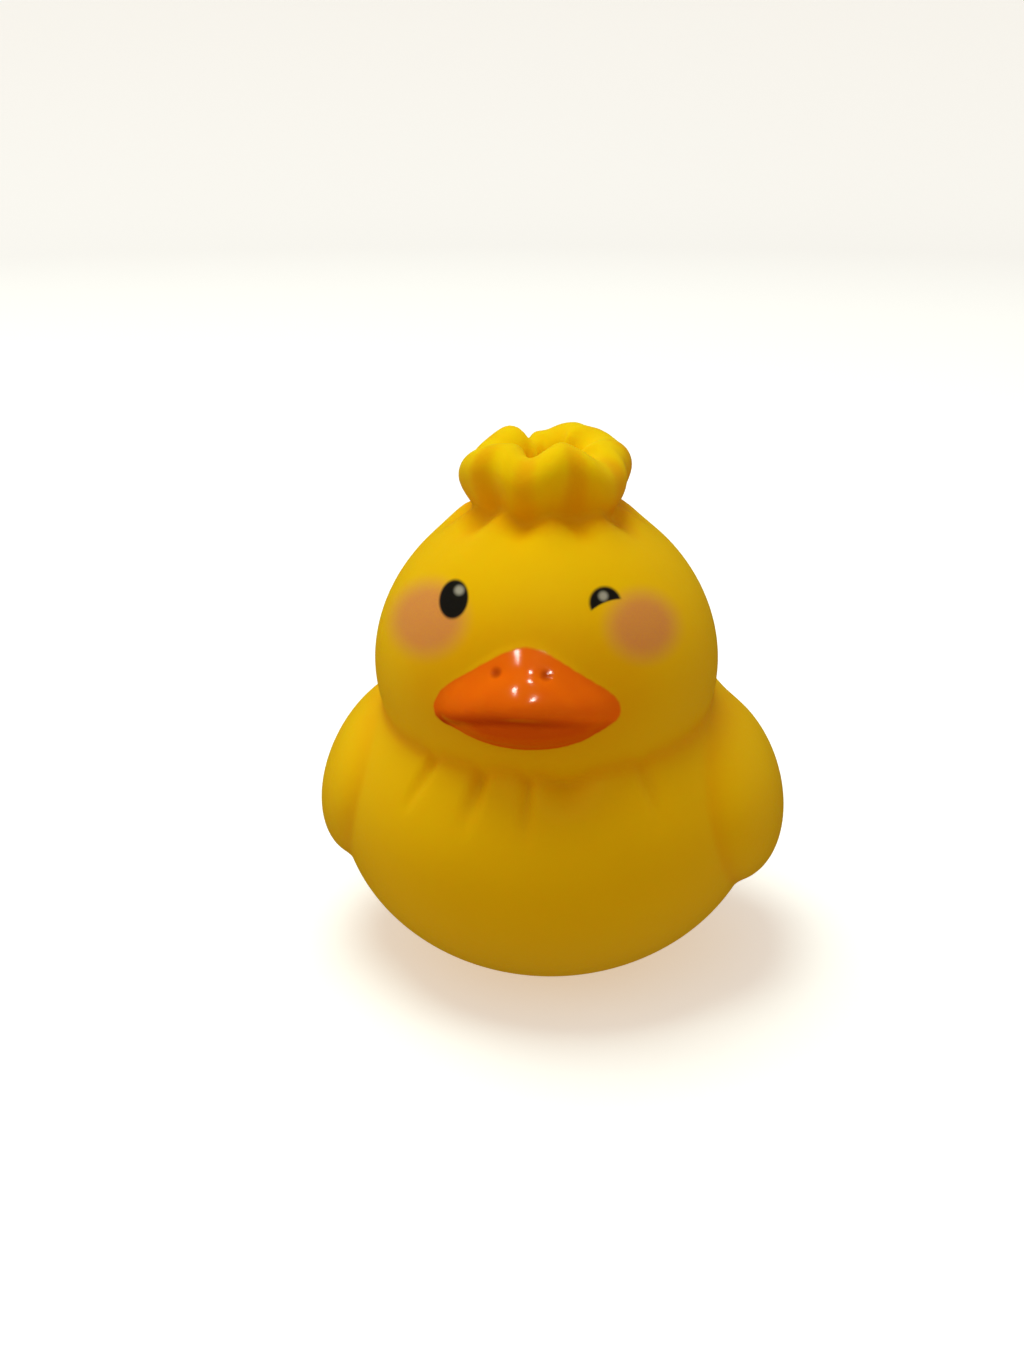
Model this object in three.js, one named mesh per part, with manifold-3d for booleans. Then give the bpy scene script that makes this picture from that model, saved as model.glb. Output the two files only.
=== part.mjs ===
// A small bath duck in soft vinyl: one hollow casting with a flat foot and a vent hole.
// Millimetres, +Z up. The duck looks along -Y, and its foot stands on z = 0.
// Every lobe is a ball or a turned ring shaped by a short formula. The lobes are joined, the foot
// is cut flat, and the same lobes, smaller by the wall, are taken out of the inside.
import * as THREE from 'three';
import { mergeVertices } from 'three/addons/utils/BufferGeometryUtils.js';
import Module from 'manifold-3d';

const wasm = await Module();
wasm.setup();

// Driving dimensions.
const WALL = 1.6;
const VENT_RADIUS = 1.5;
const HEAD = { centre: [0, -4.4, 35.2], radii: [17.7, 17.9, 16.4], taper: 0.004 };
const BODY = { centre: [0, 0.2, 17.25], radii: [23.0, 24.2, 19.0] };
const WING = { centre: [17.5, 0.5, 19.2], radii: [7.0, 14.6, 10.8], lean: 24, pitch: -9.5 };
const TAIL = { from: 24, lift: 32, length: 6, wide: 20 };
const LOWER_BILL = { centre: [0, -18.3, 34.5], radii: [9.0, 6.5, 4.3] };

// The upper bill is a half-round plate under a tent-shaped roof. Its corners droop.
const BILL = {
  centre: [0, -19.9, 37.3],
  halfWidth: 9.3,
  halfDepth: 6.5,
  floorDrop: 1.9,
  roofRise: 4.6,
  roofSideSlope: 0.31,
  roofFrontSlope: 0.93,
  meshHeight: 2.6,
  roundness: 5,
  droop: 0.036,
};

// The topknot is a gathered pouch: a ring of wall with folds, around an open mouth.
const KNOT = {
  axis: [-0.4, -3.5],
  footZ: 48.8,
  rimZ: 54.9,
  footRadius: 5.1,
  rimRadius: 5.9,
  footHalfWall: 1.6,
  rimHalfWall: 2.6,
  foldCount: 6,
  foldTurn: 28.5,
  foldWidth: 0.5,
  foldMiddle: 0.5,
  footFold: 0.4,
  rimFold: 0.8,
  columns: 54,
  sectionPoints: 18,
};
const KNOT_FLOOR = { centre: [-0.4, -3.5, 49.0], radii: [6, 6, 4] };

// Places round the topknot where its rim rises or dips, or its wall moves in or out.
// Angles in degrees from the front, positive towards the duck's left.
const RIM_HEIGHTS = [
  { at: -8, wide: 16, by: -1.1 },
  { at: 24, wide: 18, by: 0.25 },
  { at: 62, wide: 20, by: -1.2 },
  { at: 85, wide: 36, by: -0.5 },
  { at: 118, wide: 20, by: -0.7 },
  { at: 182, wide: 16, by: -0.5 },
  { at: -152, wide: 11, by: -1.6 },
  { at: -88, wide: 34, by: -1.7 },
];
const RIM_SHIFTS = [{ at: -118, wide: 22, by: -0.7 }];
const FOOT_SHIFTS = [{ at: -80, wide: 40, by: -0.45 }];

// Small pleats where the cloth-like skin is gathered, on the crown and round the neck.
const CROWN_PLEATS = { count: 10, depth: 0.35, radius: 8.2, spread: 2.0, turn: 12 };
const NECK_PLEATS = { count: 21, depth: 0.35, z: 27.5, spread: 3.5, turn: 4 };

// How many columns and rows each ball has.
const PLEATED = { around: 63, rise: 24 };
const MEDIUM = { around: 28, rise: 16 };
const COARSE = { around: 20, rise: 12 };
const VENT_SIDES = 24;
const WELD_DISTANCE = 1e-4;
const YELLOW = [0.83, 0.53, 0.0];
const VINYL_ROUGHNESS = 0.5;
const FULL_TURN = 2 * Math.PI;

function radians(degrees) {
  return THREE.MathUtils.degToRad(degrees);
}

// A smooth bump of height 1 at one angle round an axis, fading to each side.
function bump(angle, at, wide) {
  const away = THREE.MathUtils.euclideanModulo(angle - radians(at) + Math.PI, FULL_TURN) - Math.PI;
  return Math.exp(-((away / radians(wide)) ** 2));
}

function bumps(angle, list) {
  return list.reduce((sum, { at, wide, by }) => sum + by * bump(angle, at, wide), 0);
}

function angleFromFront(point, [axisX, axisY]) {
  return Math.atan2(point.x - axisX, axisY - point.y);
}

// Moves every vertex of a geometry by a function that changes a Vector3 in place.
function reshape(geometry, change) {
  const position = geometry.attributes.position;
  const point = new THREE.Vector3();
  for (let i = 0; i < position.count; i += 1) {
    point.fromBufferAttribute(position, i);
    change(point);
    position.setXYZ(i, point.x, point.y, point.z);
  }
  return geometry;
}

// A unit ball with its poles on the Z axis.
function unitBall({ around, rise }) {
  return new THREE.SphereGeometry(1, around, rise).rotateX(Math.PI / 2);
}

function ellipsoid({ centre, radii }, grid, shrink = 0) {
  return unitBall(grid)
    .scale(radii[0] - shrink, radii[1] - shrink, radii[2] - shrink)
    .translate(...centre);
}

function headBall(grid, shrink) {
  return reshape(ellipsoid(HEAD, grid, shrink), (point) => {
    point.x *= 1 - HEAD.taper * (point.z - HEAD.centre[2]);
  });
}

function crownPleats(point) {
  const { count, depth, radius, spread, turn } = CROWN_PLEATS;
  const reach = Math.hypot(point.x - KNOT.axis[0], point.y - KNOT.axis[1]);
  const fade = Math.exp(-(((reach - radius) / spread) ** 2));
  const angle = angleFromFront(point, KNOT.axis) - radians(turn);
  if (point.z > HEAD.centre[2]) {
    point.z += depth * fade * Math.cos(count * angle);
  }
}

// The back of the body is drawn out into a short tail that turns up.
function drawTail(point) {
  const { from, lift, length, wide } = TAIL;
  const [x, y, z] = point.toArray().map((value, i) => (value - BODY.centre[i]) / BODY.radii[i]);
  const facing = new THREE.Vector3(x, y, z).normalize();
  const root = new THREE.Vector3(0, Math.cos(radians(from)), Math.sin(radians(from)));
  const drawn = length * Math.exp(-((facing.angleTo(root) / radians(wide)) ** 2));
  point.y += drawn * Math.cos(radians(lift));
  point.z += drawn * Math.sin(radians(lift));
}

function bodyBall(grid, shrink = 0) {
  return reshape(ellipsoid(BODY, grid, shrink), drawTail);
}

function neckPleats(point) {
  const { count, depth, z, spread, turn } = NECK_PLEATS;
  const fade = Math.exp(-(((point.z - z) / spread) ** 2));
  const angle = angleFromFront(point, BODY.centre) - radians(turn);
  const grow = 1 + (depth * fade * Math.cos(count * angle)) / BODY.radii[0];
  point.x *= grow;
  point.y *= grow;
}

function wingBall(side, grid, shrink = 0) {
  const { centre, radii, lean, pitch } = WING;
  return unitBall(grid)
    .scale(radii[0] - shrink, radii[1] - shrink, radii[2] - shrink)
    .rotateX(radians(pitch))
    .rotateY(radians(-side * lean))
    .translate(side * centre[0], centre[1], centre[2]);
}

// Each direction from the bill's middle meets the plan outline, the two roof planes and the floor.
// A power mean of those reaches rounds every edge between them.
function upperBill(grid) {
  const { halfWidth, halfDepth, floorDrop, roofRise, roofSideSlope, roofFrontSlope } = BILL;
  const start = unitBall(grid).scale(halfWidth, halfDepth, BILL.meshHeight);
  return reshape(start, (point) => {
    const nearness = [
      Math.hypot(point.x / halfWidth, point.y / halfDepth),
      -point.z / floorDrop,
      (point.z + roofSideSlope * point.x - roofFrontSlope * point.y) / roofRise,
      (point.z - roofSideSlope * point.x - roofFrontSlope * point.y) / roofRise,
    ];
    const sum = nearness.reduce((total, value) => total + Math.max(value, 0) ** BILL.roundness, 0);
    point.multiplyScalar(sum ** (-1 / BILL.roundness));
    point.z -= BILL.droop * point.x ** 2;
  }).translate(...BILL.centre);
}

// The pouch's wall section: straight sides that thicken upwards to a round rim.
function knotSection() {
  const { footZ, rimZ, footRadius, rimRadius, footHalfWall, rimHalfWall } = KNOT;
  const outline = new THREE.Path();
  outline.moveTo(footRadius - footHalfWall, footZ);
  outline.lineTo(footRadius + footHalfWall, footZ);
  outline.lineTo(rimRadius + rimHalfWall, rimZ);
  outline.absarc(rimRadius, rimZ, rimHalfWall, 0, Math.PI, false);
  outline.closePath();
  return outline.getSpacedPoints(KNOT.sectionPoints);
}

function knotRing() {
  const { axis, footZ, rimZ, foldCount, foldTurn, foldWidth, foldMiddle } = KNOT;
  const ring = new THREE.LatheGeometry(knotSection(), KNOT.columns).rotateX(Math.PI / 2);
  return reshape(ring, (point) => {
    const angle = angleFromFront(point, [0, 0]);
    const height = (point.z - footZ) / (rimZ - footZ);
    const share = THREE.MathUtils.clamp(height, 0, 1);
    const fromValley = Math.sin((foldCount / 2) * (angle - radians(foldTurn))) / foldWidth;
    const lobe = foldMiddle - Math.exp(-(fromValley ** 2));
    const atFoot = KNOT.footFold * lobe + bumps(angle, FOOT_SHIFTS);
    const atRim = KNOT.rimFold * lobe + bumps(angle, RIM_SHIFTS);
    const outward = THREE.MathUtils.lerp(atFoot, atRim, share);
    const radius = Math.hypot(point.x, point.y);
    point.x *= (radius + outward) / radius;
    point.y *= (radius + outward) / radius;
    point.z += share * bumps(angle, RIM_HEIGHTS);
  }).translate(axis[0], axis[1], 0);
}

// Library solids and three.js geometry, to and fro.
function solid(geometry) {
  geometry.deleteAttribute('normal');
  geometry.deleteAttribute('uv');
  const merged = mergeVertices(geometry, WELD_DISTANCE);
  return new wasm.Manifold(new wasm.Mesh({
    numProp: 3,
    vertProperties: new Float32Array(merged.attributes.position.array),
    triVerts: new Uint32Array(merged.index.array),
  }));
}

function joined(geometries) {
  return geometries.map(solid).reduce((whole, next) => whole.add(next));
}

function toGeometry(manifold) {
  const mesh = manifold.getMesh();
  const geometry = new THREE.BufferGeometry();
  geometry.setAttribute('position', new THREE.BufferAttribute(mesh.vertProperties, 3));
  geometry.setIndex(new THREE.BufferAttribute(mesh.triVerts, 1));
  geometry.computeVertexNormals();
  return geometry;
}

// A block that removes everything under a level, so that a round belly gets a flat foot.
function below(level) {
  const size = 4 * BODY.radii[1];
  return solid(new THREE.BoxGeometry(size, size, size).translate(0, 0, level - size / 2));
}

function outerSkin() {
  return joined([
    reshape(bodyBall(PLEATED), neckPleats),
    reshape(headBall(PLEATED, 0), crownPleats),
    wingBall(1, MEDIUM),
    wingBall(-1, MEDIUM),
    knotRing(),
    ellipsoid(KNOT_FLOOR, COARSE),
    upperBill(MEDIUM),
    ellipsoid(LOWER_BILL, MEDIUM),
  ]).subtract(below(0));
}

function hollow() {
  return joined([
    bodyBall(COARSE, WALL),
    headBall(COARSE, WALL),
    wingBall(1, COARSE, WALL),
    wingBall(-1, COARSE, WALL),
  ]).subtract(below(WALL));
}

function ventHole() {
  const throughFoot = 4 * WALL;
  const hole = new THREE.CylinderGeometry(VENT_RADIUS, VENT_RADIUS, throughFoot, VENT_SIDES);
  return solid(hole.rotateX(Math.PI / 2).translate(0, BODY.centre[1], 0));
}

function duckShell() {
  const vinyl = new THREE.MeshStandardMaterial({
    name: 'yellow_vinyl',
    color: new THREE.Color(...YELLOW),
    roughness: VINYL_ROUGHNESS,
    metalness: 0,
  });
  const shell = new THREE.Mesh(toGeometry(outerSkin().subtract(hollow()).subtract(ventHole())), vinyl);
  shell.name = 'duck_shell';
  return shell;
}

// The origin lies under the middle of the whole casting.
const duck = new THREE.Group();
const shell = duckShell();
shell.geometry.computeBoundingBox();
shell.position.y = -shell.geometry.boundingBox.getCenter(new THREE.Vector3()).y;
duck.add(shell);

export default duck;
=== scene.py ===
"""A small bath duck in soft vinyl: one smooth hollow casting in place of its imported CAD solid.

The shape is a distance field in millimetres, along the CAD model's axes: +Z up, the duck looks
along -Y. Its lobes melt into each other, a surface net turns the field into quads, and the vent
hole and the hollow are cut out. Paint, blush and eyes are procedural and lie on the mesh.
"""

import math

import bpy
import numpy as np
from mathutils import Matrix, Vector


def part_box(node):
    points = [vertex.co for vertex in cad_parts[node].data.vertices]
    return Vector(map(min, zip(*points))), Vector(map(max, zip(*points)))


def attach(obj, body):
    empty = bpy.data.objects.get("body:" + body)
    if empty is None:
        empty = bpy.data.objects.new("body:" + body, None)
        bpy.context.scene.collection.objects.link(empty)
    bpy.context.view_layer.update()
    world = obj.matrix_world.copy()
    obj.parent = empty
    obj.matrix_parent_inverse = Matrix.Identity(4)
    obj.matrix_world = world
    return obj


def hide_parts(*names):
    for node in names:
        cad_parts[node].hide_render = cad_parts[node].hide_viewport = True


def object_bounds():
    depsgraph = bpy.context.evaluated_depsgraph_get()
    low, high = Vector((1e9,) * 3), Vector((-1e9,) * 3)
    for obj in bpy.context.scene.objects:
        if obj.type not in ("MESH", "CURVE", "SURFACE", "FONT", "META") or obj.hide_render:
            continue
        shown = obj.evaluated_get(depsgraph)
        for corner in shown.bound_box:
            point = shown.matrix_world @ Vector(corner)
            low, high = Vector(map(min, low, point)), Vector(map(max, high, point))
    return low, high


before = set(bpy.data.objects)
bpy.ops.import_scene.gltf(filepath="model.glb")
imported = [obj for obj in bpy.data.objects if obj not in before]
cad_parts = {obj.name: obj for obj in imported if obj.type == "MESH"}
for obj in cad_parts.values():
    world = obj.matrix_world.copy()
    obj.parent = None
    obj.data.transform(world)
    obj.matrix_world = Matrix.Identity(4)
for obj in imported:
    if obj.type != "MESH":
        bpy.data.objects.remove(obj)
cad_low, cad_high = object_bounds()

MM = 0.001
NODE = "duck_shell"

# ---------------------------------------------------------------- dimensions, in millimetres
WALL = 1.6
VENT_RADIUS = 1.5
VENT_SIDES = 48
HEAD = {"centre": (0, -4.4, 35.2), "radii": (17.7, 17.9, 16.4), "taper": 0.004}
BODY = {"centre": (0, 0.2, 17.25), "radii": (23.0, 24.2, 19.0)}
WING = {"centre": (17.5, 0.5, 19.2), "radii": (7.0, 14.6, 10.8), "lean": 24, "pitch": -9.5}
TAIL = {"from": 24, "lift": 32, "length": 6, "wide": 20}
BILL = {"half_width": 9.5, "half_depth": 6.7, "middle": (0.5, -19.85)}
LOWER_BILL = {"centre": (0.15, -17.65, 34.3), "radii": (8.7, 6.45, 4.53)}
FOOT_ROUNDING = 0.8

# The upper bill's tent-shaped roof falls off to the sides and the front, and its floor droops to
# the sides. "finer" thins the corner on the duck's left.
ROOF = {"top": 42.202, "ridge": 2.5, "side": 0.232, "bow": 0.065, "front": 1.06, "finer": 0.06}
FLOOR = {"top": 34.32, "droop": 0.027, "finer": 0.013}
BILL_EDGES = {"roof": 2.6, "floor": 3.0}
RIPPLE = {"high": 0.06, "long": 1.9}

# The topknot: a ring of wall round an axis, with three pairs of folds.
KNOT_AXIS = (-0.33, -3.5)
KNOT_FOOT = {"z": 48.8, "radius": 4.85, "fold": 0.41}
KNOT_RIM = {"z": 54.87, "radius": 5.5, "fold": 0.78}
KNOT_WALL = 1.6
KNOT_BASE = {"lift": 0.2, "radii": (6.0, 6.0, 4.0), "fillet": 2.0}
FOLD = {"pairs": 3, "turn": 28.5, "wide": 0.5}

# Where the topknot's rim rises or dips, or its wall moves in or out: (angle from the front in
# degrees towards the duck's left, width in degrees, millimetres).
RIM_HEIGHTS = (
    (-8, 16, -1.3),
    (24, 14, 0.25),
    (62, 20, -1.6),
    (85, 36, -0.5),
    (118, 20, -0.7),
    (182, 16, -0.4),
    (-152, 9, -1.5),
    (-168, 12, -0.8),
    (-88, 34, -1.7),
)
RIM_SHIFTS = ((-118, 22, -0.72), (-151, 8, -0.7))
FOOT_SHIFTS = ((-80, 40, -0.47),)
CROWN_PLEATS = {"count": 10, "turn": 12, "reach": 8.2, "spread": 2.0, "deep": 0.5}

# Soft grooves where the chest is gathered under the chin. Each runs down from one point to
# another, both given as degrees round the body from its front and height.
CHEST_GROOVES = (
    {"top": (-26.5, 28.5), "end": (-32.5, 21.2), "wide": 0.65, "deep": 0.50},
    {"top": (-10.8, 28.5), "end": (-14.2, 20.8), "wide": 0.80, "deep": 0.75},
    {"top": (1.2, 28.5), "end": (1.8, 20.4), "wide": 0.70, "deep": 0.60},
    {"top": (11.5, 29.0), "end": (12.0, 23.4), "wide": 2.00, "deep": 1.40},
    {"top": (33.5, 28.0), "end": (36.5, 20.8), "wide": 0.80, "deep": 0.35},
)
NOSTRILS = ((-2.3, -22.5, 38.6), (2.5, -22.7, 38.7))
NOSTRIL = {"wide": 0.5, "deep": 0.42}

# How far each joint between two lobes is filled with a round fillet.
FILLET = {"wing": 0.5, "neck": 0.8, "knot": 0.8, "bill": 0.5, "lips": 0.8}

# Painted shade: a deeper yellow close to the bill, and a dark slit between its halves.
BILL_SHADE = {"centre": (0.3, -20.5, 36.3), "radii": (9.5, 6.0, 4.6), "fade": 3.5}
MOUTH = {"offset": 0.6, "wide": 1.3, "top": 34.3, "droop": 0.027, "fillet": 1.6}

# The camera looks from this side, in degrees, at a point near the middle of the duck.
VIEW = {"around": 9, "up": 20, "distance": 190, "middle_x": -4.3, "middle_z": 29.4}
LENS = 46.6

# Painted shapes: centre to the right and up on the face as seen from the camera's side, the two
# half sizes, and for the eye a tilt in degrees.
EYE = (-9.84, 35.85, 1.42, 1.93, 7.0)
WINK_TOP = (4.6, 35.4, 1.55, 1.58)
WINK_UNDER = (6.4, 31.0, 4.8, 4.8)
GLINTS = ((-9.3, 36.7, 0.45, 0.45), (4.4, 36.05, 0.43, 0.43))
BLUSH_LEFT = (-12.5, 34.1, 5.0, 4.8)
BLUSH_RIGHT = (8.3, 33.3, 4.7, 4.4)

COLOURS = {
    "yellow": ((0.86, 0.51, 0.001, 1), (0.92, 0.565, 0.001, 1)),
    # painted light, paler towards the topknot's top
    "rim": (0.97, 0.68, 0.001, 1),
    # painted shade in the folds and round the bill
    "crease_shade": (0.84, 0.36, 0.001, 1),
    "blush": (0.75, 0.29, 0.08, 1),
    "black": (0.012, 0.011, 0.010, 1),
    "glint": (0.62, 0.60, 0.5, 1),
    "orange": ((0.98, 0.15, 0.001, 1), (1.0, 0.185, 0.001, 1)),
    # painted shade in the mouth slit
    "mouth": (0.46, 0.028, 0.001, 1),
    # painted shade in the nostril pits
    "nostril_shade": (0.45, 0.04, 0.001, 1),
}

# Cells of the surface nets outside and inside, and the room left round the CAD model's box.
FINE_CELL = 0.43
COARSE_CELL = 1.3
MARGIN = 2.0


# ---------------------------------------------------------------- field helpers
def ellipsoid(p, centre, radii):
    """Near distance to an ellipsoid, negative inside."""
    q = (p - np.asarray(centre, p.dtype)) / np.asarray(radii, p.dtype)
    reach = np.sqrt((q * q).sum(-1))
    steepness = np.sqrt(((q / np.asarray(radii, p.dtype)) ** 2).sum(-1))
    return reach * (reach - 1) / np.maximum(steepness, 1e-9)


def melt(a, b, width):
    """The union of two fields with a fillet of that width."""
    overlap = np.maximum(width - np.abs(a - b), 0) / width
    return np.minimum(a, b) - overlap * overlap * width / 4


def meet(a, b, width):
    """The part inside both fields, with its edge rounded off."""
    return -melt(-a, -b, width)


def turned(p, centre, axis, degrees):
    """p as seen by a shape that is turned by that angle about an axis through its centre."""
    i, j = {"x": (1, 2), "y": (2, 0)}[axis]
    angle = math.radians(degrees)
    ca, sa = math.cos(angle), math.sin(angle)
    q = p - np.asarray(centre, p.dtype)
    out = q.copy()
    out[..., i] = ca * q[..., i] + sa * q[..., j]
    out[..., j] = -sa * q[..., i] + ca * q[..., j]
    return out + np.asarray(centre, p.dtype)


def bump(angle, at, wide):
    """A smooth bump of height 1 at one angle in degrees round an axis."""
    away = (angle - math.radians(at) + math.pi) % (2 * math.pi) - math.pi
    return np.exp(-((away / math.radians(wide)) ** 2))


def bumps(angle, places):
    return sum(by * bump(angle, at, wide) for at, wide, by in places)


def from_front(p, axis):
    """Distance from a vertical axis, and the angle from the front towards the duck's left."""
    x = p[..., 0] - axis[0]
    y = p[..., 1] - axis[1]
    return np.hypot(x, y), np.arctan2(x, -y)


# ---------------------------------------------------------------- the duck's lobes
def valley_place(angle):
    """0 in the middle of each valley between the topknot's folds, up to 1 or -1 away from it."""
    return np.sin(FOLD["pairs"] * (angle - math.radians(FOLD["turn"])))


def knot(p):
    """The gathered topknot: a folded ring of wall round an open mouth."""
    reach, angle = from_front(p, KNOT_AXIS)
    lobe = 1 - np.exp(-((valley_place(angle) / FOLD["wide"]) ** 2))
    foot = KNOT_FOOT["radius"] + KNOT_FOOT["fold"] * lobe + bumps(angle, FOOT_SHIFTS)
    rim = KNOT_RIM["radius"] + KNOT_RIM["fold"] * lobe + bumps(angle, RIM_SHIFTS)
    rim_z = KNOT_RIM["z"] + bumps(angle, RIM_HEIGHTS)
    across, up = reach - foot, p[..., 2] - KNOT_FOOT["z"]
    run, rise = rim - foot, rim_z - KNOT_FOOT["z"]
    share = np.clip((across * run + up * rise) / (run * run + rise * rise), 0, 1)
    swell = share * share * (3 - 2 * share)
    wall = np.hypot(across - run * share, up - rise * share) - (KNOT_WALL + swell)
    base_centre = (*KNOT_AXIS, KNOT_FOOT["z"] + KNOT_BASE["lift"])
    base = ellipsoid(p, base_centre, KNOT_BASE["radii"])
    return melt(wall * 0.8, base, KNOT_BASE["fillet"])


def wings(p, shrink=0.0):
    q = p.copy()
    q[..., 0] = np.abs(q[..., 0])
    q = turned(q, WING["centre"], "y", -WING["lean"])
    q = turned(q, WING["centre"], "x", WING["pitch"])
    return ellipsoid(q, WING["centre"], np.array(WING["radii"]) - shrink)


def upper_bill(p):
    """A half-round plate under a tent-shaped roof, with drooping corners."""
    x, y, z = p[..., 0] - BILL["middle"][0], p[..., 1] - BILL["middle"][1], p[..., 2]
    side = np.sqrt(x * x + ROOF["ridge"] ** 2) - ROOF["ridge"]
    wide, deep = BILL["half_width"], BILL["half_depth"]
    reach = np.hypot(x / wide, y / deep)
    steepness = np.hypot(x / wide**2, y / deep**2)
    outline = reach * (reach - 1) / np.maximum(steepness, 1e-6)
    finer = np.maximum(x, 0)
    ripple = RIPPLE["high"] * np.cos(2 * math.pi * y / RIPPLE["long"])
    fall = ROOF["side"] * side + ROOF["bow"] * x * x + ROOF["finer"] * finer
    roof_z = ROOF["top"] + ripple - fall + ROOF["front"] * y
    floor_z = FLOOR["top"] - FLOOR["droop"] * x * x + FLOOR["finer"] * finer * finer
    upper = meet(outline, (z - roof_z) / 1.28, BILL_EDGES["roof"])
    return meet(upper, (floor_z - z) / 1.05, BILL_EDGES["floor"])


def lower_bill(p):
    return ellipsoid(p, LOWER_BILL["centre"], LOWER_BILL["radii"])


def bill(p):
    """Both halves, pressed in a little at the two nostrils."""
    halves = melt(upper_bill(p), lower_bill(p), FILLET["lips"])
    for place in NOSTRILS:
        away = np.sqrt(((p - np.asarray(place, p.dtype)) ** 2).sum(-1)) / NOSTRIL["wide"]
        halves = halves + NOSTRIL["deep"] * np.exp(-(away**2))
    return halves


def head(p, shrink=0.0):
    q = p.copy()
    q[..., 0] = p[..., 0] / (1 - HEAD["taper"] * (p[..., 2] - HEAD["centre"][2]))
    return ellipsoid(q, HEAD["centre"], np.array(HEAD["radii"]) - shrink) * 0.97


def body(p, shrink=0.0):
    """The round belly, its back drawn out into a short tail that turns up."""
    centre = np.asarray(BODY["centre"], p.dtype)
    radii = np.asarray(BODY["radii"], p.dtype)
    root = math.radians(TAIL["from"])
    lift = math.radians(TAIL["lift"])
    q = p.copy()
    for _ in range(5):
        facing = (q - centre) / radii
        length = np.maximum(np.sqrt((facing * facing).sum(-1)), 1e-6)
        cosine = (facing[..., 1] * math.cos(root) + facing[..., 2] * math.sin(root)) / length
        away = np.arccos(np.clip(cosine, -1, 1)) / math.radians(TAIL["wide"])
        drawn = TAIL["length"] * np.exp(-(away**2))
        q[..., 1] = p[..., 1] - drawn * math.cos(lift)
        q[..., 2] = p[..., 2] - drawn * math.sin(lift)
    return ellipsoid(q, BODY["centre"], np.array(BODY["radii"]) - shrink) * 0.75


def crown_pleats(p):
    """How far the head's skin stands out in the pleats round the topknot."""
    reach, angle = from_front(p, KNOT_AXIS)
    fade = np.exp(-(((reach - CROWN_PLEATS["reach"]) / CROWN_PLEATS["spread"]) ** 2))
    wave = np.cos(CROWN_PLEATS["count"] * (angle - math.radians(CROWN_PLEATS["turn"])))
    return CROWN_PLEATS["deep"] * fade * wave * (p[..., 2] > HEAD["centre"][2])


def chest_grooves(p):
    """How deep the chest is pressed in by the soft grooves under the chin."""
    around, angle = from_front(p, BODY["centre"])
    pressed = 0
    for groove in CHEST_GROOVES:
        (top_angle, top), (end_angle, end) = groove["top"], groove["end"]
        share = (top - p[..., 2]) / (top - end)
        line = np.radians(top_angle + (end_angle - top_angle) * share)
        across = (angle - line) * around / groove["wide"]
        fade = np.clip(1.3 * (1 - share), 0, 1)
        pressed = pressed + groove["deep"] * np.exp(-(across**2)) * fade * fade * (3 - 2 * fade)
    return pressed


def torso(p):
    return melt(body(p) + chest_grooves(p), wings(p), FILLET["wing"])


def skin(p):
    """Everything but the bill, which has paint of its own."""
    whole = melt(torso(p), head(p) - crown_pleats(p), FILLET["neck"])
    return melt(whole, knot(p), FILLET["knot"])


def duck(p):
    return meet(melt(skin(p), bill(p), FILLET["bill"]), -p[..., 2], FOOT_ROUNDING)


def hollow(p):
    """The inside of the casting, one wall thickness in from the outside."""
    inner = melt(body(p, WALL), wings(p, WALL), FILLET["wing"])
    inner = melt(inner, head(p, WALL), FILLET["neck"])
    return meet(inner, WALL - p[..., 2], FOOT_ROUNDING)


# ---------------------------------------------------------------- from field to mesh
CORNERS = np.array([(i, j, k) for i in (0, 1) for j in (0, 1) for k in (0, 1)])
PAIRS = [(a, b) for a in range(8) for b in range(a + 1, 8)]
EDGES = [(a, b) for a, b in PAIRS if abs(CORNERS[a] - CORNERS[b]).sum() == 1]


def sampled(field, low, cell, shape):
    """The field on a grid, worked out slab by slab to save memory."""
    axes = [low[i] + cell * np.arange(shape[i]) for i in range(3)]
    slabs = []
    for x in np.array_split(axes[0], 12):
        grid = np.stack(np.meshgrid(x, axes[1], axes[2], indexing="ij"), -1)
        slabs.append(field(grid.astype(np.float32)))
    return np.concatenate(slabs)


def pulled_to_surface(field, points, steps=4):
    """Moves points along the field's slope until they lie on its zero level."""
    eps = 0.02
    for _ in range(steps):
        slope = np.stack(
            [(field(points + eps * e) - field(points - eps * e)) / (2 * eps) for e in np.eye(3)], -1
        )
        square = np.maximum((slope * slope).sum(-1, keepdims=True), 0.05)
        step = field(points)[:, None] * slope / square
        points = points - np.clip(step, -0.3, 0.3)
    return points


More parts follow.
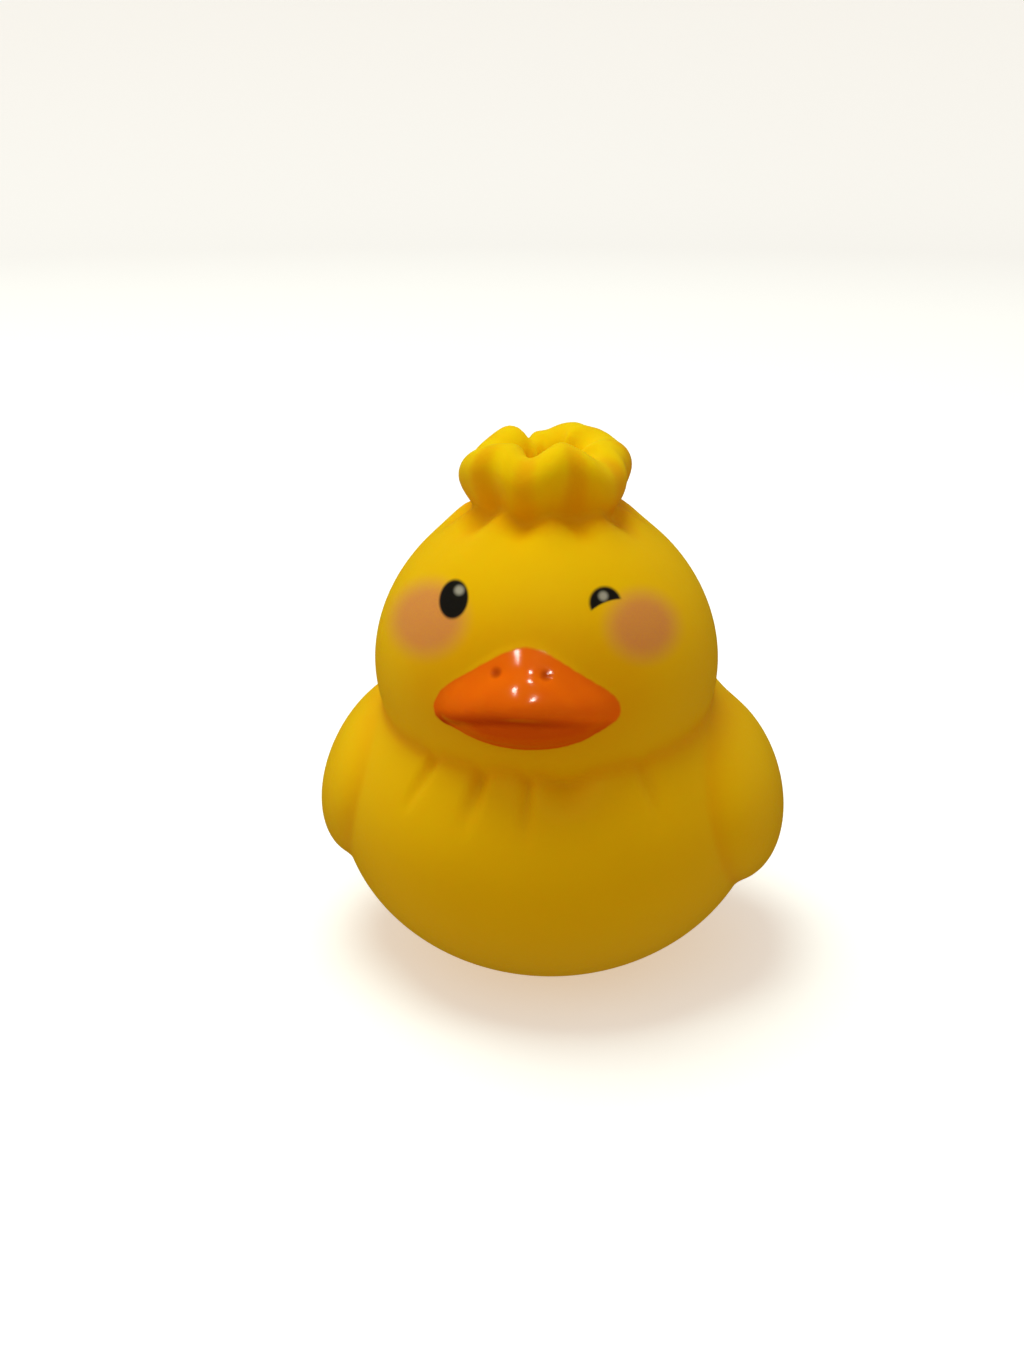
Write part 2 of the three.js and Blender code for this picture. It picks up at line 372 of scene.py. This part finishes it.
def surface_net(field, low, high, cell):
    """A quad mesh of the field's zero level: one vertex a crossed cell, one quad a crossed edge."""
    low = np.asarray(low, float)
    shape = np.ceil((np.asarray(high) - low) / cell).astype(int) + 1
    values = sampled(field, low, cell, shape)
    inside = values < 0
    full = tuple(shape - 1)
    count = np.zeros(full, np.int8)
    for i, j, k in CORNERS:
        count += inside[i : i + full[0], j : j + full[1], k : k + full[2]]
    cells = np.argwhere((count > 0) & (count < 8))
    number = np.full(full, -1, np.int64)
    number[tuple(cells.T)] = np.arange(len(cells))
    at_corner = np.stack([values[tuple((cells + c).T)] for c in CORNERS], 1)
    total = np.zeros((len(cells), 3))
    crossings = np.zeros(len(cells))
    for a, b in EDGES:
        va, vb = at_corner[:, a], at_corner[:, b]
        crossed = (va < 0) != (vb < 0)
        share = np.where(crossed, va / np.where(crossed, va - vb, 1), 0)[:, None]
        total += crossed[:, None] * (CORNERS[a] + share * (CORNERS[b] - CORNERS[a]))
        crossings += crossed
    points = low + cell * (cells + total / crossings[:, None])
    quads = []
    for axis in range(3):
        u, v = (axis + 1) % 3, (axis + 2) % 3
        here = np.take(inside, range(shape[axis] - 1), axis)
        there = np.take(inside, range(1, shape[axis]), axis)
        edge = np.argwhere(here != there)
        edge = edge[(edge[:, u] > 0) & (edge[:, v] > 0)]
        leaves = here[tuple(edge.T)]
        du, dv = np.eye(3, dtype=int)[u], np.eye(3, dtype=int)[v]
        around = [edge - a * du - b * dv for a, b in ((0, 0), (1, 0), (1, 1), (0, 1))]
        ring = np.stack([number[tuple(cell.T)] for cell in around], 1)
        ring[~leaves] = ring[~leaves][:, ::-1]
        quads.append(ring)
    return pulled_to_surface(field, points), np.concatenate(quads)


def mesh_object(name, points_mm, faces):
    mesh = bpy.data.meshes.new(name)
    mesh.from_pydata((points_mm * MM).tolist(), [], faces.tolist())
    mesh.validate()
    piece = bpy.data.objects.new(name, mesh)
    bpy.context.scene.collection.objects.link(piece)
    return piece


def cut(piece, tool):
    """Takes tool out of piece, and removes tool."""
    modifier = piece.modifiers.new("cut", "BOOLEAN")
    modifier.operation = "DIFFERENCE"
    modifier.solver = "MANIFOLD"
    modifier.object = tool
    depsgraph = bpy.context.evaluated_depsgraph_get()
    applied = bpy.data.meshes.new_from_object(piece.evaluated_get(depsgraph))
    piece.modifiers.clear()
    piece.data = applied
    bpy.data.objects.remove(tool)


def vent_tool():
    """A round pin through the foot."""
    n = VENT_SIDES
    turns = np.linspace(0, 2 * math.pi, n, endpoint=False)
    x = VENT_RADIUS * np.cos(turns)
    y = VENT_RADIUS * np.sin(turns) + BODY["centre"][1]
    ends = [np.stack([x, y, np.full(n, z)], 1) for z in (-WALL, 2 * WALL)]
    sides = [[i, (i + 1) % n, n + (i + 1) % n, n + i] for i in range(n)]
    caps = [list(range(n - 1, -1, -1)), list(range(n, 2 * n))]
    mesh = bpy.data.meshes.new("vent")
    mesh.from_pydata((np.concatenate(ends) * MM).tolist(), [], caps + sides)
    piece = bpy.data.objects.new("vent", mesh)
    bpy.context.scene.collection.objects.link(piece)
    return piece


def make_shell():
    low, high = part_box(NODE)
    low = np.array(low) / MM - MARGIN
    high = np.array(high) / MM + MARGIN
    piece = mesh_object("duck", *surface_net(duck, low, high, FINE_CELL))
    bpy.context.view_layer.update()
    cut(piece, mesh_object("inside", *surface_net(hollow, low, high, COARSE_CELL)))
    bpy.context.view_layer.update()
    cut(piece, vent_tool())
    return piece


def painted_crease_shade(p):
    """Painted shade: near 1 in the folds between lobes and round the bill, where shade falls, for a
    deeper colour there.
    """

    def near(a, b, wide):
        return np.exp(-(((a - b) / wide) ** 2))

    reach, angle = from_front(p, KNOT_AXIS)
    on_knot = np.exp(-(np.maximum(knot(p), 0) ** 2) / 0.3)
    outside = np.clip((reach - KNOT_RIM["radius"]) / 1.5, 0, 1)
    valley = np.exp(-((valley_place(angle) / 0.55) ** 2))
    below_rim = np.clip((KNOT_RIM["z"] + 0.5 - p[..., 2]) / 3, 0, 1)
    glow = np.maximum(ellipsoid(p, BILL_SHADE["centre"], BILL_SHADE["radii"]), 0)
    joints = [
        # painted shade at the neck, round the bill, at the wings, at the topknot's foot and folds,
        # in the chest grooves and the crown pleats
        0.8 * near(head(p), torso(p), 0.9),
        0.5 * np.exp(-((glow / BILL_SHADE["fade"]) ** 2)),
        0.45 * near(wings(p), body(p), 0.45),
        0.9 * near(knot(p), head(p), 1.6) * (reach < 10),
        0.9 * valley * on_knot * outside * below_rim,
        0.5 * np.clip(chest_grooves(p), 0, 1) * (torso(p) < head(p)),
        0.8 * np.clip(-crown_pleats(p) / 0.45, 0, 1),
    ]
    return np.clip(1 - np.prod([1 - joint for joint in joints], 0), 0, 1)


def mouth_tint(p):
    """Painted shade: deepest in the slit between the halves of the bill, and some on the lower half
    under the upper one.
    """
    into_lower = upper_bill(p) - lower_bill(p)
    slit = np.exp(-(((into_lower + MOUTH["offset"]) / MOUTH["wide"]) ** 2))
    lower = np.clip(0.5 + into_lower / 1.6, 0, 1)
    over_floor = p[..., 2] - (MOUTH["top"] - MOUTH["droop"] * p[..., 0] ** 2)
    return np.maximum(slit, 0.45 * lower) * np.clip((1.3 - over_floor) / 1.4, 0, 1)


def points_of(piece):
    flat = np.zeros(len(piece.data.vertices) * 3, np.float32)
    piece.data.vertices.foreach_get("co", flat)
    return flat.reshape(-1, 3).astype(float)


def add_value(piece, name, values):
    attribute = piece.data.attributes.new(name, "FLOAT", "POINT")
    attribute.data.foreach_set("value", values.astype(np.float32))


shell = make_shell()
design = points_of(shell) / MM
mouth_filled = melt(upper_bill(design), lower_bill(design), MOUTH["fillet"])
add_value(shell, "bill_side", np.clip(skin(design) - mouth_filled, -3, 3))
# painted shade in the folds between lobes
add_value(shell, "crease_shade", painted_crease_shade(design))
# painted shade in the mouth slit and on the lower half of the bill
add_value(shell, "mouth", mouth_tint(design))

# The casting stands on the CAD model's foot, centred front to back where the CAD model is.
low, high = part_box(NODE)
shift_y = (low.y + high.y) / 2 / MM - (design[:, 1].min() + design[:, 1].max()) / 2
moved = points_of(shell) + np.array([0, shift_y * MM, 0])
shell.data.vertices.foreach_set("co", moved.astype(np.float32).ravel())
shell.data.shade_smooth()
shell.data.update()


# ---------------------------------------------------------------- materials
class Nodes:
    """Short calls for building one material's node tree."""

    def __init__(self, name):
        self.material = bpy.data.materials.new(name)
        self.material.use_nodes = True
        self.tree = self.material.node_tree
        self.tree.nodes.clear()
        self.shader = self.new("ShaderNodeBsdfPrincipled")
        output = self.new("ShaderNodeOutputMaterial")
        self.tree.links.new(self.shader.outputs[0], output.inputs["Surface"])

    def new(self, kind, **settings):
        node = self.tree.nodes.new(kind)
        for key, value in settings.items():
            setattr(node, key, value)
        return node

    def feed(self, socket, value):
        if isinstance(value, bpy.types.NodeSocket):
            self.tree.links.new(value, socket)
        else:
            socket.default_value = value

    def math(self, operation, *values):
        node = self.new("ShaderNodeMath", operation=operation)
        for socket, value in zip(node.inputs, values):
            self.feed(socket, value)
        return node.outputs[0]

    def vector(self, operation, *values):
        node = self.new("ShaderNodeVectorMath", operation=operation)
        for socket, value in zip(node.inputs, values):
            self.feed(socket, value)
        measures = operation in ("DOT_PRODUCT", "DISTANCE")
        return node.outputs["Value" if measures else "Vector"]

    def smooth(self, value, start, end, low=0.0, high=1.0):
        node = self.new("ShaderNodeMapRange", interpolation_type="SMOOTHSTEP")
        keys = ("Value", "From Min", "From Max", "To Min", "To Max")
        for key, number in zip(keys, (value, start, end, low, high)):
            self.feed(node.inputs[key], number)
        return node.outputs[0]

    def noise(self, where, scale, detail=2.0, roughness=0.5):
        node = self.new("ShaderNodeTexNoise")
        self.feed(node.inputs["Vector"], where)
        self.feed(node.inputs["Scale"], scale)
        self.feed(node.inputs["Detail"], detail)
        self.feed(node.inputs["Roughness"], roughness)
        return node.outputs[0]

    def mix(self, amount, a, b):
        node = self.new("ShaderNodeMix", data_type="RGBA")
        self.feed(node.inputs["Factor"], amount)
        self.feed(node.inputs["A"], a)
        self.feed(node.inputs["B"], b)
        return node.outputs["Result"]


def direction(around, up):
    """The way out from the duck, at degrees round from its front towards its left, and up."""
    turn, rise = math.radians(around), math.radians(up)
    level = math.cos(rise)
    return math.sin(turn) * level, -math.cos(turn) * level, math.sin(rise)


def spray_axes():
    """Right, up and outwards on the face, as painted from the side that the camera looks from."""
    turn, rise = math.radians(VIEW["around"]), math.radians(VIEW["up"])
    right = (math.cos(turn), math.sin(turn), 0.0)
    up = (-math.sin(turn) * math.sin(rise), math.cos(turn) * math.sin(rise), math.cos(rise))
    return right, up, direction(VIEW["around"], VIEW["up"])


def vinyl():
    """Matte yellow vinyl with sprayed blush, stencilled eyes and a glossy orange bill."""
    n = Nodes("yellow_vinyl")
    coordinates = n.new("ShaderNodeTexCoord").outputs["Object"]
    place = n.vector("SUBTRACT", coordinates, (0.0, shift_y * MM, 0.0))
    place = n.vector("DIVIDE", place, (MM, MM, MM))
    right, up, towards = spray_axes()
    u = n.vector("DOT_PRODUCT", place, right)
    v = n.vector("DOT_PRODUCT", place, up)
    depth = n.vector("DOT_PRODUCT", place, towards)
    front = n.smooth(depth, 15.5, 18.5)

    def radius(centre_u, centre_v, wide, tall, tilt=0.0):
        """Distance from a centre on the face, in units of an ellipse's half sizes."""
        du = n.math("SUBTRACT", u, centre_u)
        dv = n.math("SUBTRACT", v, centre_v)
        c, s = math.cos(math.radians(tilt)), math.sin(math.radians(tilt))
        along = n.math("ADD", n.math("MULTIPLY", du, c / wide), n.math("MULTIPLY", dv, -s / wide))
        across = n.math("ADD", n.math("MULTIPLY", du, s / tall), n.math("MULTIPLY", dv, c / tall))
        squares = n.math("MULTIPLY", along, along), n.math("MULTIPLY", across, across)
        return n.math("SQRT", n.math("ADD", *squares))

    def disc(shape, soft):
        """1 inside the ellipse and 0 outside, on the front of the head only."""
        inside = n.smooth(radius(*shape), 1 + soft, 1 - soft)
        return n.math("MULTIPLY", inside, front)

    # Base colour: slow drifts of tone in the casting.
    drift = n.noise(place, 0.08, 3.0)
    yellow = n.mix(drift, *COLOURS["yellow"])

    # Painted light makes the topknot a little paler towards its rim at the top, and painted shade
    # makes the creases deeper in colour.
    split = n.new("ShaderNodeSeparateXYZ")
    n.feed(split.inputs[0], place)
    rim = n.smooth(split.outputs["Z"], 51.5, 56.0, 0.0, 0.6)
    yellow = n.mix(rim, yellow, COLOURS["rim"])
    crease_shade = n.new("ShaderNodeAttribute", attribute_name="crease_shade").outputs["Fac"]
    yellow = n.mix(n.math("MULTIPLY", crease_shade, 0.75), yellow, COLOURS["crease_shade"])

    # Blush, sprayed with soft edges.
    speckle = n.smooth(n.noise(place, 6.0, 2.0), 0.2, 0.8, 0.9, 1.1)
    blush_left = n.math("MULTIPLY", n.smooth(radius(*BLUSH_LEFT), 1.0, 0.45), front)
    blush_right = n.math("MULTIPLY", n.smooth(radius(*BLUSH_RIGHT), 1.0, 0.4), front)
    blush = n.math("MULTIPLY", n.math("MAXIMUM", blush_left, blush_right), speckle)
    colour = n.mix(n.math("MULTIPLY", blush, 0.9), yellow, COLOURS["blush"])

    # The open eye and the wink, each with a pale glint.
    eye = disc(EYE, 0.12)
    under = n.smooth(radius(*WINK_UNDER), 0.97, 1.03)
    wink = n.math("MULTIPLY", disc(WINK_TOP, 0.14), under)
    black = n.math("MAXIMUM", eye, wink)
    glints = n.math("MAXIMUM", *(disc(glint, 0.6) for glint in GLINTS))
    glints = n.math("MULTIPLY", glints, black)
    colour = n.mix(black, colour, COLOURS["black"])
    colour = n.mix(n.math("MULTIPLY", glints, 0.6), colour, COLOURS["glint"])

    # The bill's paint stops in the crease round it, with a slightly soft edge.
    side = n.new("ShaderNodeAttribute", attribute_name="bill_side").outputs["Fac"]
    wobble = n.math("MULTIPLY", n.math("SUBTRACT", n.noise(place, 1.2, 1.0), 0.5), 0.12)
    painted = n.smooth(n.math("ADD", side, wobble), -0.14, 0.06)
    painted = n.math("MULTIPLY", painted, n.smooth(depth, 12.0, 14.0))
    orange = n.mix(n.noise(place, 0.5, 2.0), *COLOURS["orange"])
    # Painted shade in the slit between the bill's halves and on its lower half.
    mouth = n.new("ShaderNodeAttribute", attribute_name="mouth").outputs["Fac"]
    orange = n.mix(n.math("MULTIPLY", mouth, 0.95), orange, COLOURS["mouth"])
    # Painted shade in the nostril pits.
    for nostril_shade in NOSTRILS:
        away = n.vector("DISTANCE", place, nostril_shade)
        orange = n.mix(n.smooth(away, 0.8, 0.2, 0.0, 0.75), orange, COLOURS["nostril_shade"])
    colour = n.mix(painted, colour, orange)
    n.feed(n.shader.inputs["Base Color"], colour)

    # Roughness: matte skin and glossier paint, with a coat on the bill that thins below the mouth.
    grain = n.noise(place, 2.5, 4.0, 0.6)
    matte = n.smooth(grain, 0.3, 0.7, 0.46, 0.56)
    gloss = n.math("MAXIMUM", painted, black)
    rough = n.new("ShaderNodeMix", data_type="FLOAT")
    n.feed(rough.inputs["Factor"], gloss)
    n.feed(rough.inputs["A"], matte)
    n.feed(rough.inputs["B"], 0.22)
    n.feed(n.shader.inputs["Roughness"], rough.outputs["Result"])
    thick = n.smooth(split.outputs["Z"], 33.8, 35.6, 0.15, 1.0)
    n.feed(n.shader.inputs["Coat Weight"], n.math("MULTIPLY", painted, thick))
    n.shader.inputs["Coat Roughness"].default_value = 0.12
    n.shader.inputs["Coat IOR"].default_value = 1.5
    n.shader.inputs["Specular IOR Level"].default_value = 0.12
    n.shader.inputs["Specular Tint"].default_value = (1.0, 0.72, 0.25, 1.0)
    n.shader.inputs["Subsurface Weight"].default_value = 0.25
    n.shader.inputs["Subsurface Radius"].default_value = (1.0, 0.45, 0.1)
    n.shader.inputs["Subsurface Scale"].default_value = 1.2 * MM

    # Fine skin texture of the mould, fainter under paint.
    pores = n.noise(place, 5.0, 3.0, 0.6)
    waves = n.noise(place, 0.5, 2.0, 0.5)
    height = n.math("ADD", n.math("MULTIPLY", pores, 0.012), n.math("MULTIPLY", waves, 0.08))
    relief = n.new("ShaderNodeBump")
    relief.inputs["Distance"].default_value = MM
    relief.inputs["Strength"].default_value = 0.6
    under_paint = n.smooth(gloss, 0.0, 1.0, 1.0, 0.35)
    n.feed(relief.inputs["Height"], n.math("MULTIPLY", height, under_paint))
    n.feed(n.shader.inputs["Normal"], relief.outputs[0])
    return n.material


def plain(name, colour, roughness):
    n = Nodes(name)
    n.shader.inputs["Base Color"].default_value = (*colour, 1)
    n.shader.inputs["Roughness"].default_value = roughness
    return n.material


shell.data.materials.clear()
shell.data.materials.append(vinyl())
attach(shell, "root")
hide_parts(NODE)


# ---------------------------------------------------------------- stage, lights and camera
def make_stage():
    """A round pale floor that curves up into a low wall, the same from every side."""
    flat, bend, wall = 0.7, 0.3, 0.25
    around, steps = 96, 12
    profile = [(flat, 0.0)]
    for i in range(1, steps + 1):
        turn = math.radians(90 * i / steps)
        profile.append((flat + bend * math.sin(turn), bend * (1 - math.cos(turn))))
    profile.append((flat + bend, bend + wall))
    points, faces = [], []
    for r, z in profile:
        for i in range(around):
            turn = 2 * math.pi * i / around
            points.append((r * math.cos(turn), r * math.sin(turn), z))
    faces.append(list(range(around)))
    for row in range(len(profile) - 1):
        for i in range(around):
            a, b = row * around + i, row * around + (i + 1) % around
            faces.append([a, a + around, b + around, b])
    mesh = bpy.data.meshes.new("floor")
    mesh.from_pydata(points, [], faces)
    mesh.shade_smooth()
    stage = bpy.data.objects.new("floor", mesh)
    pale = plain("pale_floor", (0.86, 0.88, 0.93), 0.8)
    glow = pale.node_tree.nodes["Principled BSDF"]
    glow.inputs["Emission Color"].default_value = (1, 1, 1, 1)
    glow.inputs["Emission Strength"].default_value = 0.36
    mesh.materials.append(pale)
    bpy.context.scene.collection.objects.link(stage)
    stage.location.z = cad_low.z - 0.00002
    stage.visible_diffuse = False
    stage.visible_glossy = False


def aim(item, target):
    item.rotation_mode = "QUATERNION"
    item.rotation_quaternion = (Vector(target) - item.location).to_track_quat("-Z", "Y")


def add_light(name, place, target, size, power, colour=(1, 1, 1), glossy=False):
    data = bpy.data.lights.new(name, "AREA")
    data.shape = "DISK"
    data.size = size
    data.energy = power
    data.color = colour
    light = bpy.data.objects.new(name, data)
    light.location = place
    light.visible_glossy = glossy
    light.visible_diffuse = not glossy
    bpy.context.scene.collection.objects.link(light)
    aim(light, target)


def make_lights(target):
    add_light("overhead", (-0.16, 0.05, 0.80), target, 0.50, 3.2, (1.0, 1.15, 1.0))
    add_light("side_fill", (-0.80, -0.20, 0.08), target, 0.60, 0.95, (1.0, 0.95, 0.85))
    for i, (around, up) in enumerate(((-30, 50), (17, 68), (18, 42))):
        place = target + 0.75 * Vector(direction(around, up))
        add_light(f"spot_{i}", place, target, 0.08, 0.42, glossy=True)
    world = bpy.data.worlds.new("studio")
    bpy.context.scene.world = world
    world.use_nodes = True
    tree = world.node_tree
    upwards = tree.nodes.new("ShaderNodeTexCoord").outputs["Generated"]
    split = tree.nodes.new("ShaderNodeSeparateXYZ")
    height = tree.nodes.new("ShaderNodeMapRange")
    shade = tree.nodes.new("ShaderNodeMix")
    shade.data_type = "RGBA"
    height.inputs["From Min"].default_value = -1.0
    shade.inputs["A"].default_value = (0.50, 0.39, 0.27, 1)
    shade.inputs["B"].default_value = (0.565, 0.505, 0.43, 1)
    tree.links.new(upwards, split.inputs[0])
    tree.links.new(split.outputs["Z"], height.inputs["Value"])
    tree.links.new(height.outputs[0], shade.inputs["Factor"])
    tree.links.new(shade.outputs["Result"], tree.nodes["Background"].inputs["Color"])
    world.cycles_visibility.glossy = False


def make_camera():
    """Close to the duck, a little to its left and above, looking slightly past its face."""
    data = bpy.data.cameras.new("camera")
    data.lens = LENS
    data.clip_start = 0.01
    camera = bpy.data.objects.new("camera", data)
    middle = Vector((VIEW["middle_x"], shift_y, VIEW["middle_z"])) * MM
    away = Vector(direction(VIEW["around"], VIEW["up"]))
    camera.location = middle + VIEW["distance"] * MM * away
    bpy.context.scene.collection.objects.link(camera)
    aim(camera, middle)
    bpy.context.scene.camera = camera


make_stage()
make_lights((cad_low + cad_high) / 2)
make_camera()
bpy.context.scene.view_settings.view_transform = "Standard"
